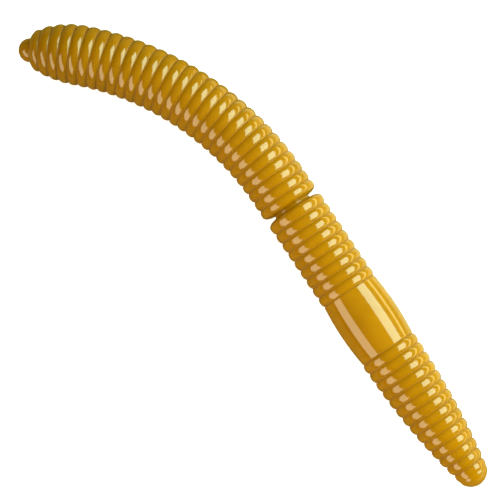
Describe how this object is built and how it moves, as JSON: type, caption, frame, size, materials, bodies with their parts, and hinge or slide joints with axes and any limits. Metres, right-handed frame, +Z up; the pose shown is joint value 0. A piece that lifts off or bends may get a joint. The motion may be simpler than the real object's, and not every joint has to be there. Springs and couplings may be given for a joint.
{
  "type": "soft plastic worm",
  "caption": "Ribbed soft plastic fishing worm with a narrow waist, a smooth saddle and tapered ends, bending along its length.",
  "frame": {"origin": "under the middle of the worm's bounding box, on the surface it lies on", "axes": "+X along the straight head half towards the head tip, +Z up from the surface, and the tail bends round towards -Y"},
  "size_m": [0.0608, 0.017, 0.0062],
  "materials": {
    "soft_plastic": "gloss"
  },
  "bodies": {
    "tail_section_1": {"tail_tip": "soft_plastic", "tail_ring_01": "soft_plastic", "tail_ring_02": "soft_plastic", "tail_ring_03": "soft_plastic", "tail_ring_04": "soft_plastic"},
    "tail_section_2": {"tail_ring_05": "soft_plastic", "tail_ring_06": "soft_plastic", "tail_ring_07": "soft_plastic", "tail_ring_08": "soft_plastic", "tail_ring_09": "soft_plastic"},
    "tail_section_3": {"tail_ring_10": "soft_plastic", "tail_ring_11": "soft_plastic", "tail_ring_12": "soft_plastic", "tail_ring_13": "soft_plastic", "tail_ring_14": "soft_plastic"},
    "tail_section_4": {"tail_ring_15": "soft_plastic", "tail_ring_16": "soft_plastic", "tail_ring_17": "soft_plastic", "tail_ring_18": "soft_plastic", "tail_ring_19": "soft_plastic"},
    "tail_section_5": {"tail_ring_20": "soft_plastic", "tail_ring_21": "soft_plastic", "tail_ring_22": "soft_plastic", "tail_ring_23": "soft_plastic", "tail_ring_24": "soft_plastic"},
    "tail_section_6": {"tail_ring_25": "soft_plastic", "tail_ring_26": "soft_plastic", "tail_ring_27": "soft_plastic", "tail_ring_28": "soft_plastic", "tail_ring_29": "soft_plastic", "waist": "soft_plastic"},
    "mid_section_1": {"mid_ring_01": "soft_plastic", "mid_ring_02": "soft_plastic", "mid_ring_03": "soft_plastic", "mid_ring_04": "soft_plastic", "mid_ring_05": "soft_plastic"},
    "mid_section_2": {"mid_ring_06": "soft_plastic", "mid_ring_07": "soft_plastic", "mid_ring_08": "soft_plastic", "mid_ring_09": "soft_plastic"},
    "saddle": {"saddle": "soft_plastic"},
    "head_section_1": {"head_ring_01": "soft_plastic", "head_ring_02": "soft_plastic", "head_ring_03": "soft_plastic", "head_ring_04": "soft_plastic", "head_ring_05": "soft_plastic"},
    "head_section_2": {"head_ring_06": "soft_plastic", "head_ring_07": "soft_plastic", "head_ring_08": "soft_plastic", "head_ring_09": "soft_plastic", "head_ring_10": "soft_plastic"},
    "head_section_3": {"head_ring_11": "soft_plastic", "head_ring_12": "soft_plastic", "head_ring_13": "soft_plastic", "head_ring_14": "soft_plastic", "head_tip": "soft_plastic"}
  },
  "joints": [
    {"name": "tail_section_1_side", "type": "hinge", "parent": "tail_section_2", "child": "tail_section_1", "pos_m": [-0.02641, -0.0041, 0.00308], "axis": [0, 0, 1], "range_deg": [-20, 20], "stiffness_Nm_per_rad": 0.0016},
    {"name": "tail_section_2_lift", "type": "hinge", "parent": "tail_section_3", "child": "tail_section_2", "pos_m": [-0.02239, -0.00056, 0.00308], "axis": [-0.5929, 0.8053, 0], "range_deg": [-20, 20], "stiffness_Nm_per_rad": 0.0016},
    {"name": "tail_section_3_side", "type": "hinge", "parent": "tail_section_4", "child": "tail_section_3", "pos_m": [-0.01781, 0.00222, 0.00308], "axis": [0, 0, 1], "range_deg": [-20, 20], "stiffness_Nm_per_rad": 0.0016},
    {"name": "tail_section_4_lift", "type": "hinge", "parent": "tail_section_5", "child": "tail_section_4", "pos_m": [-0.01282, 0.00417, 0.00308], "axis": [-0.2803, 0.9599, 0], "range_deg": [-20, 20], "stiffness_Nm_per_rad": 0.0016},
    {"name": "tail_section_5_side", "type": "hinge", "parent": "tail_section_6", "child": "tail_section_5", "pos_m": [-0.00757, 0.00522, 0.00308], "axis": [0, 0, 1], "range_deg": [-20, 20], "stiffness_Nm_per_rad": 0.0016},
    {"name": "waist_lift", "type": "hinge", "parent": "mid_section_1", "child": "tail_section_6", "pos_m": [-0.00196, 0.0054, 0.00308], "axis": [0.0009, 1, 0], "range_deg": [-15, 15], "stiffness_Nm_per_rad": 0.0016},
    {"name": "mid_section_1_side", "type": "hinge", "parent": "mid_section_2", "child": "mid_section_1", "pos_m": [0.00369, 0.0054, 0.00308], "axis": [0, 0, 1], "range_deg": [-20, 20], "stiffness_Nm_per_rad": 0.0016},
    {"name": "mid_section_2_lift", "type": "hinge", "parent": "saddle", "child": "mid_section_2", "pos_m": [0.00793, 0.0054, 0.00308], "axis": [0.0008, 1, 0], "range_deg": [-20, 20], "stiffness_Nm_per_rad": 0.0016},
    {"name": "head_section_1_side", "type": "hinge", "parent": "saddle", "child": "head_section_1", "pos_m": [0.01469, 0.0054, 0.00308], "axis": [0, 0, -1], "range_deg": [-20, 20], "stiffness_Nm_per_rad": 0.0016},
    {"name": "head_section_2_lift", "type": "hinge", "parent": "head_section_1", "child": "head_section_2", "pos_m": [0.01998, 0.00541, 0.00308], "axis": [0.0049, -1, 0], "range_deg": [-20, 20], "stiffness_Nm_per_rad": 0.0016},
    {"name": "head_section_3_side", "type": "hinge", "parent": "head_section_2", "child": "head_section_3", "pos_m": [0.02528, 0.00545, 0.00308], "axis": [0, 0, -1], "range_deg": [-20, 20], "stiffness_Nm_per_rad": 0.0016}
  ]
}
